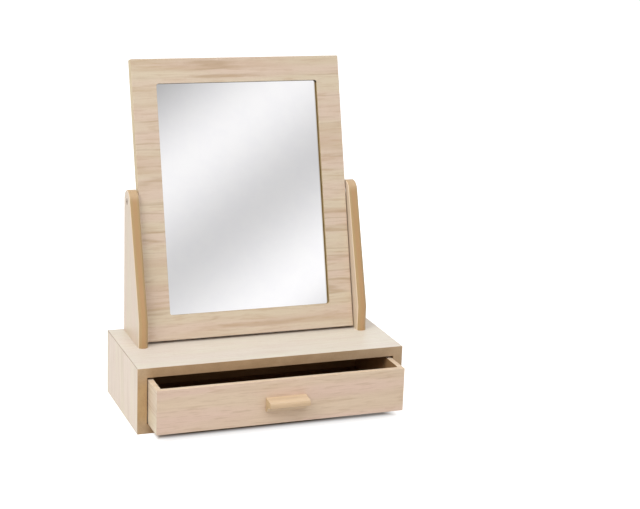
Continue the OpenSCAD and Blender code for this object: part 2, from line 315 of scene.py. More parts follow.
# Painted light: a little glow at the ends of the shade under the box makes them paler.
ends = graph.step(x, *RIGHT_END) * RIGHT_PAINTED_LIGHT + graph.step(0 - x, *LEFT_END) * LEFT_PAINTED_LIGHT
beside = graph.maths("MAXIMUM", graph.maths("MAXIMUM", beside_x, beside_y), ends)
matt = graph.add("BsdfDiffuse", inputs={"Color": graph.mix(beside, PAINTED_SHADE_UNDER_BOX, OPEN_FLOOR)})
ray = graph.add("LightPath", output="Is Camera Ray")
far = graph.step(graph.maths("SQRT", x * x + y * y), *FAR_FLOOR)
straight = ray + ray.at("Is Glossy Ray") * (1 - far * FAR_LOSS) + ray.at("Is Transmission Ray")
glow = graph.add("Emission", inputs={"Color": straight * beside, "Strength": GLOW})
both = graph.add("AddShader", inputs={0: matt, 1: glow})
graph.add("OutputMaterial", inputs={"Surface": both})
floor.data.materials.append(floor_paint)
print("Floor is", FLOOR_SIZE, "m wide")

# %% [markdown]
# ## Wood veneer
# The boards wear a pale veneer: a beige that drifts to pink in places, thin brown lines
# where the growth rings were sliced, and fine short pores. A picture of wood could be
# wrapped round each board, but noise stretched along the grain never repeats and runs on
# over an edge as real grain does. One function makes it for any direction of the grain.
# The growth lines come from one slow noise: wherever its value passes a whole number of
# rings there is a line, so the lines bend, close up and part as in a sliced log. In a few
# places a flame can be added, where the lines swirl.

# %% Veneer
def new_finish(name):
    material = bpy.data.materials.new(name)
    material.use_nodes = True
    return material, Graph(material.node_tree)


def close(graph, base, roughness, height=None, relief=0.0, **fixed):
    """Ends a finish: colour, roughness and relief into one Principled shader."""
    inputs = {"Base Color": base, "Roughness": roughness}
    inputs.update({name.replace("_", " "): value for name, value in fixed.items()})
    if height is not None:
        bump = {"Strength": 1.0, "Distance": relief, "Height": height}
        inputs["Normal"] = graph.add("Bump", inputs=bump)
    shader = graph.add("BsdfPrincipled", inputs=inputs)
    graph.add("OutputMaterial", inputs={"Surface": shader})


RING_BROWN = colour(183, 153, 121)
PORE_BROWN = colour(176, 146, 116)


def veneer(
    name, grain, beige, pink, ring=RING_BROWN, turn=0.0, shift=(0, 0, 0), rings=9.0,
    lines=0.6, bands=0.3, dashes=0.25, wave=0.035, flame=0.0, coat=0.5,
):
    """Pale veneer with its grain along the x, y or z of the piece.

    Rings is how close the growth lines lie. Lines, bands and dashes are how strong those
    marks are, wave is how unsteadily the lines run, and flame is how much they swirl.
    """
    material, graph = new_finish(name)
    x, y, z = graph.place(turn, shift)
    along, across, through = {"x": (x, z, y), "y": (y, z, x), "z": (z, y, x)}[grain]

    def figure(lengthwise, crosswise, depthwise, **settings):
        """Noise that changes about this often in a metre, for each way of the grain."""
        point = graph.vector(along * lengthwise, across * crosswise, through * depthwise)
        return graph.noise(point, **settings)

    flow = figure(1.3, 34, 22, detail=1.5)
    waver = figure(20, 150, 90)
    if flame:
        flow = flow + graph.step(figure(8, 16, 16), 0.5, 0.7) * waver * flame
    turns = graph.maths("PINGPONG", (flow + waver * wave) * rings, 0.5)
    line = 1 - graph.step(turns, 0.0, 0.17)
    strength = graph.step(figure(12, 95, 60), 0.36, 0.66)
    tone = graph.step(figure(6, 60, 40, detail=1), 0.36, 0.64)
    band = graph.step(figure(7, 120, 80), 0.48, 0.72)
    dash = graph.step(figure(45, 420, 420), 0.5, 0.72)
    fibre = figure(38, 900, 900, detail=3, roughness=0.6)
    pore = graph.step(figure(230, 3600, 3600, detail=1), 0.62, 0.74)
    wood = graph.mix(tone, beige, pink)
    wood = graph.mix(band * bands, wood, RING_BROWN)
    wood = graph.mix(dash * dashes, wood, RING_BROWN)
    wood = graph.mix(graph.step(fibre, 0.2, 0.8) * 0.2, wood, RING_BROWN)
    wood = graph.mix(line * strength * lines, wood, ring)
    wood = graph.mix(pore * 0.35, wood, PORE_BROWN)
    close(
        graph, wood, roughness=0.43 + fibre * 0.08, height=fibre - pore * 0.8, relief=0.03 * MM,
        Coat_Weight=coat, Coat_Roughness=0.32, Specular_IOR_Level=0.35,
    )
    return material


LEAN = math.radians(15.4)
veneer_x = veneer(
    "veneer_along_x", "x", beige=colour(230, 224, 210), pink=colour(229, 220, 209),
    lines=0.08, bands=0.07, dashes=0.07, coat=0.2,
)
veneer_y = veneer(
    "veneer_along_y", "y", beige=colour(240, 227, 200), pink=colour(238, 221, 199),
    shift=(0.31, 0.17, 0.05),
)
veneer_z = veneer(
    "veneer_along_z", "z", beige=colour(224, 209, 184), pink=colour(224, 205, 186),
    shift=(0.13, 0.22, 0.41), rings=6.0, lines=0.2, bands=0.25, dashes=0.1,
)
veneer_leaned = veneer(
    "veneer_on_the_frame", "x", beige=colour(209, 194, 170), pink=colour(210, 189, 171),
    ring=colour(169, 141, 109), turn=LEAN, shift=(0.58, 0.07, 0.46), rings=10.0, lines=0.6,
    bands=0.4, dashes=0.4, wave=0.045, flame=0.12,
)
veneer_drawer = veneer(
    "veneer_on_the_drawer", "x", beige=colour(218, 196, 171), pink=colour(219, 192, 174),
    shift=(0.77, 0.4, 0.62), rings=7.0, lines=0.22, bands=0.16, dashes=0.4,
)
print("Veneers:", [m.name for m in bpy.data.materials if m.name.startswith("veneer")])

# %% [markdown]
# ## Bare board edges
# Where a board is cut, its core shows: pressed fibre under clear lacquer, browner and
# plainer than the veneer. Its speckle is fine and lies in faint layers. The box's edges have
# their own finish: yellower on the left board and paler towards its top and bottom, and a
# little paler at the right end. The posts' edges are rounded, and there the layers show as an
# orange stripe between two ochre ones, so their finish looks at how far a point is from the
# middle of its post. Towards the head the edge is painted paler, as painted light from above.
# The glue lines in the mitres, the window's walls, the panels and the handle's end are bare
# too, each in its own tone, but the window's top wall is painted almost black, as painted
# shade. The handle is solid wood and gets the veneer's finish, with painted shade at the
# nose, which is darker than the top. Only its hollow is plain, and painted very pale, so that
# it throws more warm light into the shade under the handle.

# %% Bare edges
POST_X = 118.5 * MM
SPECKS = 1500


def board_speckle(graph, x, y, z):
    """The fine speckle of pressed board."""
    return graph.noise(graph.vector(x * SPECKS, y * SPECKS, z * SPECKS), detail=2, roughness=0.7)


def close_bare(graph, wood, speckle):
    """Ends a bare finish: a little rough, with the speckle as its relief."""
    close(graph, wood, 0.48 + speckle * 0.1, speckle, 0.05 * MM, Specular_IOR_Level=0.25)


def bare_board(name, light, dark, layers):
    """Pressed board. The layers are how fast its stripes change along x, y and z, per metre."""
    material, graph = new_finish(name)
    x, y, z = graph.place()
    layer = graph.noise(graph.vector(x * layers[0], y * layers[1], z * layers[2]), detail=2)
    speckle = board_speckle(graph, x, y, z)
    darker = graph.step(layer, 0.3, 0.7) * 0.6 + graph.step(speckle, 0.3, 0.8) * 0.4
    close_bare(graph, graph.mix(darker, light, dark), speckle)
    return material


def box_edge_wood(name):
    """The box's edges: brown, paler at the right end, with a yellower board on the left."""
    material, graph = new_finish(name)
    x, y, z = graph.place()
    layer = graph.noise(graph.vector(x * 60, y * 100, z * 60), detail=2)
    speckle = board_speckle(graph, x, y, z)
    # The left board's edge is yellower and paler towards its top and bottom.
    on_left_board = graph.step(0 - x, 124 * MM, 134 * MM)
    to_its_ends = graph.step(abs(z - 34 * MM), 14 * MM, 28 * MM)
    left = graph.mix(to_its_ends, colour(195, 163, 120), colour(204, 176, 142))
    to_right = graph.step(x, -40 * MM, 130 * MM)
    wood = graph.mix(to_right, colour(188, 155, 119), colour(181, 156, 127))
    wood = graph.mix(on_left_board, wood, left)
    darker = graph.step(layer, 0.3, 0.7) * 0.3 + graph.step(speckle, 0.3, 0.8) * 0.3
    close_bare(graph, graph.mix(darker, wood, colour(148, 118, 84)), speckle)
    return material


def post_wood(name):
    """The posts' board: veneer on both faces, and the core's stripes on the round edges."""
    material, graph = new_finish(name)
    x, y, z = graph.place()
    side = abs(abs(x) - POST_X)
    speckle = board_speckle(graph, x, y, z)
    slow = graph.noise(graph.vector(x * 60, y * 14, z * 14), detail=2)
    ring = graph.noise(graph.vector(x * 260, y * 60, z * 7), detail=2)
    fibre = graph.noise(graph.vector(x * 800, y * 800, z * 36), detail=3, roughness=0.6)
    to_ochre = graph.step(side, 1.4 * MM, 3.0 * MM)
    to_veneer_edge = graph.step(side, 4.5 * MM, 4.65 * MM)
    to_face = graph.step(side, 4.78 * MM, 4.9 * MM)
    # Painted light: the edge is paler towards the head, where light from above falls on it.
    painted_light_to_head = graph.step(z, 208.5 * MM, 218 * MM)
    core = graph.mix(to_ochre, colour(184, 144, 101), colour(177, 148, 105))
    core = graph.mix(graph.step(slow, 0.3, 0.7) * 0.45, core, colour(171, 139, 94))
    core = graph.mix(painted_light_to_head * 0.8, core, colour(199, 170, 134))
    core = graph.mix(graph.step(speckle, 0.35, 0.8) * 0.2, core, colour(160, 128, 88))
    face = graph.mix(graph.step(ring, 0.35, 0.65), colour(220, 204, 180), colour(222, 202, 182))
    face = graph.mix(graph.step(fibre, 0.2, 0.8) * 0.2, face, RING_BROWN)
    wood = graph.mix(to_veneer_edge, core, colour(244, 224, 198))
    wood = graph.mix(to_face, wood, face)
    close(
        graph, wood, roughness=0.40 + speckle * 0.1, height=speckle, relief=0.04 * MM,
        Coat_Weight=0.25, Coat_Roughness=0.35,
    )
    return material


box_edge = box_edge_wood("bare_box_edge")
post_board = post_wood("post_board")
# Each tone is a light colour, a dark one and how fast the stripes change along x, y and z.
BARE_TONES = {
    "bare_drawer_edge": (colour(229, 208, 183), colour(212, 186, 156), (8, 120, 160)),
    "bare_frame_edge": (colour(226, 208, 176), colour(210, 190, 154), (8, 90, 8)),
    "bare_window_edge": (colour(182, 160, 116), colour(158, 137, 96), (8, 200, 8)),
    # The window's top wall is painted almost black, as painted shade.
    "window_top_painted_shade": (colour(70, 58, 34), colour(54, 44, 24), (8, 200, 8)),
    "glue_line": (colour(186, 166, 142), colour(168, 146, 122), (60, 60, 60)),
    "inner_board": (colour(154, 116, 76), colour(128, 94, 58), (10, 60, 60)),
    "drawer_inside": (colour(172, 136, 97), colour(150, 117, 80), (10, 60, 60)),
    "hardboard": (colour(152, 114, 74), colour(124, 90, 57), (300, 300, 300)),
    "handle_end_grain": (colour(209, 183, 145), colour(190, 164, 126), (90, 400, 400)),
    # The hollow is painted very pale, so that it throws more warm light into the shade under the
    # handle.
    "handle_hollow_bounce_light": (colour(250, 208, 150), colour(240, 194, 132), (8, 200, 200)),
}
bare = {name: bare_board(name, *tones) for name, tones in BARE_TONES.items()}
handle_wood = veneer(
    "solid_handle_wood", "x", beige=colour(222, 198, 167), pink=colour(221, 195, 162),
    shift=(0.2, 0.9, 0.1), rings=8.0, lines=0.4, bands=0.2, dashes=0.2, coat=0.1,
)
# The nose is painted darker than the top, as painted shade.
handle_nose_painted_shade = veneer(
    "painted_shade_nose_wood", "x", beige=colour(206, 179, 146), pink=colour(205, 176, 142),
    shift=(0.2, 0.9, 0.1), rings=8.0, lines=0.3, bands=0.2, dashes=0.2, coat=0.1,
)
print("Finishes so far:", len(bpy.data.materials))

# %% [markdown]
# ## Metal, nylon and the mirror's silver
# Screws are bright zinc with the fine turning marks of the machine that made them. The
# washers are pale nylon. The mirror is glass with silver behind it, but glass 2 mm thick
# hardly bends what it shows, so one very smooth metal on the pane's face does for both,
# with a trace of dust to roughen it. Only at the window's right side is a narrow brown border
# painted into the silver: a painted reflection of the window's wall, which the glass shows there.

# %% Metal, nylon and silver
def speckled(name, light, dark, scale, rough_low, rough_span, relief, **fixed):
    """A plain material with a fine speckle in its colour, its roughness and its relief."""
    material, graph = new_finish(name)
    x, y, z = graph.place()
    speck = graph.noise(graph.vector(x * scale, y * scale, z * scale), detail=2, roughness=0.6)
    base = graph.mix(graph.step(speck, 0.3, 0.7), light, dark)
    close(graph, base, rough_low + speck * rough_span, speck, relief, **fixed)
    return material


steel = speckled(
    "zinc_steel", colour(196, 196, 200), colour(170, 168, 170),
    scale=900, rough_low=0.22, rough_span=0.2, relief=0.01 * MM, Metallic=1.0,
)
pivot_steel = speckled(
    "pivot_steel", colour(176, 156, 138), colour(150, 130, 112),
    scale=900, rough_low=0.3, rough_span=0.2, relief=0.01 * MM, Metallic=1.0,
)
nylon = speckled(
    "nylon", colour(232, 230, 222), colour(220, 218, 208),
    scale=400, rough_low=0.4, rough_span=0.1, relief=0.005 * MM,
)
PAINTED_WALL_REFLECTION = (84.2 * MM, 86.2 * MM)


def mirror_silver(name):
    """Silver behind glass, with a painted reflection of the window's wall by its right side."""
    material, graph = new_finish(name)
    x, y, z = graph.place()
    dust = graph.noise(graph.vector(x * 60, y * 60, z * 60), detail=2, roughness=0.6)
    base = graph.mix(graph.step(dust, 0.3, 0.7), colour(255, 254, 255), colour(253, 252, 254))
    # Painted reflection: a brown band for the window's wall mirrored in the glass.
    base = graph.mix(graph.step(x, *PAINTED_WALL_REFLECTION), base, colour(160, 140, 98))
    close(graph, base, dust * 0.02, Metallic=1.0)
    return material


silver = mirror_silver("mirror_silver")
print("Finishes in all:", len(bpy.data.materials))

# %% [markdown]
# ## Tools for modelling
# An operator works on whatever is selected, so every step first clears the selection and
# then picks its faces or edges by a test on their place. These few helpers do that, so that
# each piece below reads as a list of cuts, as it would be made at the bench.

# %% Modelling tools
SLACK = 0.02 * MM
SHARP_ANGLE = math.radians(32)
ROUND_ANGLE = math.radians(46)


def only(piece):
    """Selects one piece and nothing else, ready for an operator."""
    if bpy.context.object and bpy.context.object.mode != "OBJECT":
        bpy.ops.object.mode_set(mode="OBJECT")
    bpy.ops.object.select_all(action="DESELECT")
    piece.select_set(True)
    bpy.context.view_layer.objects.active = piece


def named(name):
    """Names the piece that was just added, and puts its place into its mesh."""
    piece = bpy.context.object
    piece.name = name
    bpy.ops.object.transform_apply(location=True, rotation=True, scale=True)
    return piece


def settle(piece, matrix):
    """Moves a piece by a matrix, and puts its new place into its mesh."""
    piece.matrix_world = matrix
    only(piece)
    bpy.ops.object.transform_apply(location=True, rotation=True, scale=True)


def block(name, low, high):
    """A block from its lowest corner to its highest."""
    low, high = Vector(low), Vector(high)
    bpy.ops.object.select_all(action="DESELECT")
    bpy.ops.mesh.primitive_cube_add(size=1, location=(low + high) / 2, scale=high - low)
    return named(name)


def rod(name, radius, start, end, tip=None, sides=48):
    """A round bar between two points, tapered where a tip radius is given."""
    start, end = Vector(start), Vector(end)
    bpy.ops.object.select_all(action="DESELECT")
    bpy.ops.mesh.primitive_cone_add(
        vertices=sides, radius1=radius, radius2=radius if tip is None else tip,
        depth=(end - start).length, location=(start + end) / 2,
        rotation=(end - start).to_track_quat("Z", "Y").to_euler(),
    )
    return named(name)


def shape(piece, kind, test, *steps):
    """Picks the faces or edges that pass a test, then runs the steps on them in edit mode."""
    only(piece)
    bpy.ops.object.mode_set(mode="EDIT")
    bpy.ops.mesh.select_mode(type=kind)
    bpy.ops.mesh.select_all(action="DESELECT")
    mesh = bmesh.from_edit_mesh(piece.data)
    picked = [item for item in (mesh.faces if kind == "FACE" else mesh.edges) if test(item)]
    for item in picked:
        item.select_set(True)
    bmesh.update_edit_mesh(piece.data)
    for step in steps:
        step()
    bpy.ops.object.mode_set(mode="OBJECT")


def facing(x, y, z):
    """A test for faces that look one way."""
    way = Vector((x, y, z)).normalized()
    return lambda face: face.normal.dot(way) > 0.999


def edge_at(test):
    """A test for edges: both ends of the edge must pass."""
    return lambda edge: all(test(vertex.co) for vertex in edge.verts)


def near(value, target):
    return abs(value - target) < SLACK


def modify(piece, kind, **settings):
    """Adds one modifier and applies it."""
    only(piece)
    bpy.ops.object.modifier_add(type=kind)
    modifier = piece.modifiers[-1]
    for name, value in settings.items():
        setattr(modifier, name, value)
    bpy.ops.object.modifier_apply(modifier=modifier.name)


def cut(piece, *cutters):
    """Takes the cutters' shapes out of a piece."""
    for cutter in cutters:
        modify(piece, "BOOLEAN", object=cutter, operation="DIFFERENCE", solver="EXACT")


def discard(*tools):
    for tool in tools:
        bpy.data.objects.remove(tool)


def draw_in(piece, way, scale, **settings):
    """Makes the face that looks one way smaller, so that the sides beside it slope."""
    shape(
        piece, "FACE", facing(*way), lambda: bpy.ops.transform.resize(value=scale, **settings)
    )


def is_slanted(edge):
    """True for the slanted edges of a mitre, where two boards are glued face to face."""
    run = edge.verts[0].co - edge.verts[1].co
    return sum(abs(part) > 0.1 * run.length for part in run) > 1


def shade(piece, angle, weighted=True):
    """Shades edges under this angle round. Weighted normals keep the flats beside them flat."""
    only(piece)
    bpy.ops.object.shade_smooth_by_angle(angle=angle)
    if weighted:
        modify(piece, "WEIGHTED_NORMAL", keep_sharp=True)


def soften(piece, width, segments=2, leave=lambda edge: False):
    """Rounds the sharp edges a little, then shades the flats flat and the rounds round."""
    shape(
        piece, "EDGE", lambda edge: edge.calc_face_angle(0) > SHARP_ANGLE and not leave(edge),
        lambda: bpy.ops.mesh.bevel(offset=width, segments=segments, affect="EDGES"),
    )
    shade(piece, ROUND_ANGLE)


def paint(piece, base, *coats):
    """Gives a piece its base finish, then a coat to the faces that pass each test."""
    finishes = [base] + [finish for finish, test in coats]
    piece.data.materials.clear()
    for finish in finishes:
        piece.data.materials.append(finish)
    for face in piece.data.polygons:
        for number, (finish, test) in enumerate(coats, start=1):
            if test(face):
                face.material_index = number


def fit(piece, body, slot, *nodes):
    """Puts a piece on its body, in place of CAD nodes. The slot is not used."""
    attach(piece, body)
    if nodes:
        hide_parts(*nodes)
    print(piece.name, "has", len(piece.data.polygons), "faces")


print("Modelling tools are ready")

# %% [markdown]
# ## The box
# Four boards, 10 mm thick, meet in mitres, so that the veneer runs round the corners and no
# end shows. Each board starts as a block. Its inner face is drawn in by the boards'
# thickness at both ends, which slopes the ends by 45 degrees. One cutter then takes out the
# seat of the back panel in all four. The small rounding makes the thin shadow line that
# every real mitre has, and the mitre's own faces are a little darker, as glue leaves them.

# %% Box boards
BOX_W, BOX_D, BOX_H = 280 * MM, 126 * MM, 68 * MM
BOARD = 10 * MM
BACK_LAP = 5 * MM
BACK_SEAT = 2.9 * MM
HALF_W, HALF_D = BOX_W / 2, BOX_D / 2
ROUNDING = 0.35 * MM

seat_cutter = block(
    "seat_cutter",
    (-HALF_W + BOARD - BACK_LAP, HALF_D - BACK_SEAT, BOARD - BACK_LAP),
    (HALF_W - BOARD + BACK_LAP, HALF_D + BOARD, BOX_H - BOARD + BACK_LAP),
)


def is_front_or_back(face):
    return abs(face.normal.y) > 0.7


def level_board(name, low_z, inward):
    """The top or bottom board; inward is the way from its outer face into the box."""
    piece = block(name, (-HALF_W, -HALF_D, low_z), (HALF_W, HALF_D, low_z + BOARD))
    draw_in(piece, (0, 0, inward), ((BOX_W - 2 * BOARD) / BOX_W, 1, 1))
    cut(piece, seat_cutter)
    soften(piece, ROUNDING, leave=is_slanted)
    paint(
        piece, veneer_x,
        (bare["inner_board"], lambda face: face.normal.z * inward > 0.9),
        (bare["glue_line"], lambda face: face.normal.z * inward < 0.3 and abs(face.normal.x) > 0.2),
        (box_edge, is_front_or_back),
    )
    fit(piece, "base", "veneer", name.replace("board", "carcass"))


def upright_board(name, side):
    """The left or right board of the box."""
    outer, inner = side * HALF_W, side * (HALF_W - BOARD)
    piece = block(name, (min(outer, inner), -HALF_D, 0), (max(outer, inner), HALF_D, BOX_H))
    draw_in(piece, (-side, 0, 0), (1, 1, (BOX_H - 2 * BOARD) / BOX_H))
    cut(piece, seat_cutter)
    soften(piece, ROUNDING, leave=is_slanted)
    paint(
        piece, veneer_z,
        (bare["inner_board"], lambda face: face.normal.x * side < -0.9),
        (bare["glue_line"], lambda face: face.normal.x * side > -0.3 and abs(face.normal.z) > 0.2),
        (box_edge, is_front_or_back),
    )
    fit(piece, "base", "veneer", name.replace("board", "carcass"))


level_board("board_top", BOX_H - BOARD, -1)
level_board("board_bottom", 0, 1)
upright_board("board_left", -1)
upright_board("board_right", 1)
discard(seat_cutter)

# %% [markdown]
# ## The posts
# Each post is a 10 mm board with a round head. Its front slopes from the foot to the head,
# and its edges are rounded: only a little at the head, almost to a half round at the foot.
# A bevel has one width all along, so the post is made as a tent is: two rings stand for the
# head's two rims, four round bars for the foot's corners, and a convex hull is the skin
# pulled tight over them.

# %% Post shape
POST_T = 10 * MM
FOOT_FRONT, FOOT_BACK = -5 * MM, 63 * MM
FOOT_RISE = 26 * MM
FOOT_EDGE = 4.5 * MM
HEAD_R = 12 * MM
HEAD_EDGE = 1.5 * MM
PIVOT = Vector((0, 48 * MM, 207.9754 * MM))


def post_blank(name, side):
    """One post, still without its screw hole."""
    poles = []
    for way in (-1, 1):
        bpy.ops.object.select_all(action="DESELECT")
        bpy.ops.mesh.primitive_torus_add(
            location=(side * POST_X + way * (POST_T / 2 - HEAD_EDGE), PIVOT.y, PIVOT.z),
            rotation=(0, math.radians(90), 0), major_radius=HEAD_R - HEAD_EDGE,
            minor_radius=HEAD_EDGE, major_segments=72, minor_segments=16,
        )
        poles.append(named("ring"))
        for y in (FOOT_FRONT + FOOT_EDGE, FOOT_BACK - FOOT_EDGE):
            foot = Vector((side * POST_X + way * (POST_T / 2 - FOOT_EDGE), y, BOX_H))
            poles.append(rod("pole", FOOT_EDGE, foot, foot + Vector((0, 0, FOOT_RISE))))
    bpy.ops.object.select_all(action="DESELECT")
    for pole in poles:
        pole.select_set(True)
    bpy.context.view_layer.objects.active = poles[0]
    bpy.ops.object.join()
    piece = bpy.context.object
    piece.name = name
    shape(
        piece, "FACE", lambda face: True,
        lambda: bpy.ops.mesh.convex_hull(use_existing_faces=False, join_triangles=False),
    )
    return piece


# %% [markdown]
# ## Screws
# The pivot screws sit flush in the posts' outer faces, in a countersunk hole, and their
# cross recess shows. A screw starts as its shank. The top face is pulled out and widened
# into the head, and the other end is drawn to a point. Two thin blocks, sunk crosswise into
# the head, cut the recess. The pan heads on the mirror's back are made the same way.

# %% Screws
# A screw's tip is a quarter as wide as its shank.
POINT = 0.25


def grow(length, widen, way):
    """A step that extrudes the picked face along one way and widens it."""
    def step():
        bpy.ops.mesh.extrude_region_move(TRANSFORM_OT_translate={"value": way * length})
        bpy.ops.transform.resize(value=(widen, widen, widen))
    return step


def recess(piece, at, into, width, thick, depth):
    """Cuts a cross into a screw's head."""
    turn = into.to_track_quat("Z", "Y").to_matrix().to_4x4()
    for wide, tall in ((width, thick), (thick, width)):
        bar = block("bar", (-wide / 2, -tall / 2, -depth), (wide / 2, tall / 2, depth))
        settle(bar, Matrix.Translation(at) @ turn)
        cut(piece, bar)
        discard(bar)


def flat_screw(name, at, into, shank, head, length):
    """A countersunk screw: at is the middle of its head, into is the way that it is driven."""
    start = at + into * (head - shank)
    piece = rod(name, shank, start, at + into * (length - shank), sides=32)
    shape(piece, "FACE", facing(*into), grow(shank, POINT, into))
    shape(piece, "FACE", facing(*-into), grow(head - shank, head / shank, -into))
    recess(piece, at, into, width=head * 1.05, thick=head * 0.26, depth=1.3 * MM)
    soften(piece, width=0.08 * MM, segments=1)
    return piece


PIVOT_SHANK, PIVOT_HEAD, PIVOT_LENGTH = 2 * MM, 3.6 * MM, 22 * MM
HOLE_PLAY = 0.05 * MM

for side, word in ((-1, "left"), (1, "right")):
    face_point = Vector((side * (POST_X + POST_T / 2), PIVOT.y, PIVOT.z))
    inward = Vector((-side, 0, 0))
    screw = flat_screw("screw_" + word, face_point, inward, PIVOT_SHANK, PIVOT_HEAD, PIVOT_LENGTH)
    paint(screw, pivot_steel)
    fit(screw, "mirror", "steel", word + "_pivot_screw")
    piece = post_blank("post_" + word, side)
    sink = rod(
        "sink", PIVOT_HEAD + HOLE_PLAY + MM, face_point - inward * MM,
        face_point + inward * (PIVOT_HEAD - PIVOT_SHANK), tip=PIVOT_SHANK + HOLE_PLAY,
    )
    bore_end = face_point + inward * 2 * POST_T
    bore = rod("bore", PIVOT_SHANK + HOLE_PLAY, face_point - inward * MM, bore_end)
    cut(piece, sink, bore)
    discard(sink, bore)
    shade(piece, math.radians(40))
    paint(piece, post_board)
    fit(piece, "base", "post_board", word + "_post")

# %% [markdown]
# ## The mirror's frame
# The frame is one board with a window in it, and the grain runs level over all four sides.
# It is made upright round the pivot and leaned back at the end. An inset on the front and
# the back draws the window, a bridge joins the two and opens it, and its four corners are
# rounded. Two cutters take out the seats of the glass and of the backing board from behind.

# %% Mirror frame
FRAME_W, FRAME_H, FRAME_T = 224.6 * MM, 287 * MM, 10 * MM
BORDER = 25.5 * MM
WINDOW_R = 2.5 * MM
WINDOW_BEVEL = 0.3 * MM
FRAME_BEVEL = 0.6 * MM
LIP = 3 * MM
GLASS_T, BACKING_T = 2 * MM, 3 * MM
GLASS_LAP, BACKING_LAP, PANEL_PLAY = 5 * MM, 8 * MM, 0.25 * MM
WINDOW_W, WINDOW_H = FRAME_W - 2 * BORDER, FRAME_H - 2 * BORDER
LEAN_BACK = Matrix.Translation(PIVOT) @ Matrix.Rotation(-LEAN, 4, "X")


def upright(name, width, height, front, back):
    return block(name, (-width / 2, front, -height / 2), (width / 2, back, height / 2))


def in_window(point, margin):
    """True for a point in the window, or this close to it."""
    return abs(point.x) < WINDOW_W / 2 + margin and abs(point.z) < WINDOW_H / 2 + margin


mirror_board = upright("mirror_board", FRAME_W, FRAME_H, -FRAME_T / 2, FRAME_T / 2)
shape(
    mirror_board, "FACE", lambda face: abs(face.normal.y) > 0.9,
    lambda: bpy.ops.mesh.inset(thickness=BORDER),
    lambda: bpy.ops.mesh.bridge_edge_loops(),
)
window_corner = edge_at(
    lambda co: near(abs(co.x), WINDOW_W / 2) and near(abs(co.z), WINDOW_H / 2)
)
shape(
    mirror_board, "EDGE",
    lambda edge: window_corner(edge) and near(edge.verts[0].co.x, edge.verts[1].co.x)
    and near(edge.verts[0].co.z, edge.verts[1].co.z),
    lambda: bpy.ops.mesh.bevel(offset=WINDOW_R, segments=5, affect="EDGES"),
)
front_window_edge = edge_at(lambda co: near(co.y, -FRAME_T / 2) and in_window(co, 0.1 * MM))
shape(
    mirror_board, "EDGE", front_window_edge,
    lambda: bpy.ops.mesh.bevel(offset=WINDOW_BEVEL, segments=2, affect="EDGES"),
)
glass_step = GLASS_LAP + PANEL_PLAY
glass_cutter = upright(
    "glass_cutter", WINDOW_W + 2 * glass_step, WINDOW_H + 2 * glass_step,
    -FRAME_T / 2 + LIP, FRAME_T,
)
backing_step = GLASS_LAP + BACKING_LAP + PANEL_PLAY
backing_cutter = upright(
    "backing_cutter", WINDOW_W + 2 * backing_step, WINDOW_H + 2 * backing_step,
    -FRAME_T / 2 + LIP + GLASS_T, FRAME_T,
)
cut(mirror_board, glass_cutter, backing_cutter)
discard(glass_cutter, backing_cutter)
outer_edge = edge_at(lambda co: near(abs(co.x), FRAME_W / 2) or near(abs(co.z), FRAME_H / 2))
shape(
    mirror_board, "EDGE", outer_edge,
    lambda: bpy.ops.mesh.bevel(offset=FRAME_BEVEL, segments=3, affect="EDGES"),
)
shade(mirror_board, ROUND_ANGLE)


def is_window_wall(face):
    return in_window(face.center, MM) and abs(face.normal.y) < 0.8


def is_pale_edge(face):
    """The frame's top and side edges. The foot, bare like the back and seats, is painted shade."""
    outside = abs(face.center.x) > FRAME_W / 2 - MM or face.center.z > FRAME_H / 2 - MM
    return outside and abs(face.normal.y) < 0.7


paint(
    mirror_board, veneer_leaned,
    # The foot keeps this darker bare finish, as painted shade in the gap under the frame.
    (bare["inner_board"], lambda face: face.normal.y > -0.7),
    (bare["bare_frame_edge"], is_pale_edge),
    (bare["bare_window_edge"], is_window_wall),
    # Painted shade: the window's top wall is almost black.
    (bare["window_top_painted_shade"], lambda face: is_window_wall(face) and face.normal.z < -0.1),
)
settle(mirror_board, LEAN_BACK)
fit(mirror_board, "mirror", "veneer", "mirror_frame")

# %% [markdown]
# ## The small screws
# Ten screws with round pan heads hold the backing board, and two more hold the handle from
# inside the drawer. They are all alike, so one is modelled at the origin and copied. A copy
# shares its mesh with the first unless it is given its own, and here each one needs its own,
# because the place of a screw is kept in its mesh. The cross in each head is turned by
# another angle, as a screwdriver leaves it.

# %% Small screws
SMALL_SHANK, SMALL_HEAD, SMALL_HEAD_T = 1.25 * MM, 2.4 * MM, 1.4 * MM
SMALL_HEAD_ROUND = 1.1 * MM
UP = Vector((0, 0, 1))


def pan_screw(length):
    """A screw at the origin with its head above z = 0 and its shank below."""
    piece = rod("pan_screw", SMALL_SHANK, (0, 0, 0), (0, 0, SMALL_SHANK - length), sides=24)
    shape(piece, "FACE", facing(0, 0, -1), grow(SMALL_SHANK, POINT, -UP))
    shape(
        piece, "FACE", facing(0, 0, 1),
        lambda: bpy.ops.mesh.inset(thickness=0.02 * MM),
        lambda: bpy.ops.transform.resize(value=(SMALL_HEAD / SMALL_SHANK,) * 3),
        grow(SMALL_HEAD_T, 1, UP),
    )
    rim = edge_at(lambda co: near(co.z, SMALL_HEAD_T))
    shape(
        piece, "EDGE", rim,
        lambda: bpy.ops.mesh.bevel(offset=SMALL_HEAD_ROUND, segments=5, affect="EDGES"),
    )
    recess(
        piece, UP * SMALL_HEAD_T, -UP,
        width=SMALL_HEAD * 1.1, thick=SMALL_HEAD * 0.24, depth=0.9 * MM,
    )
    shade(piece, math.radians(35), weighted=False)
    return piece


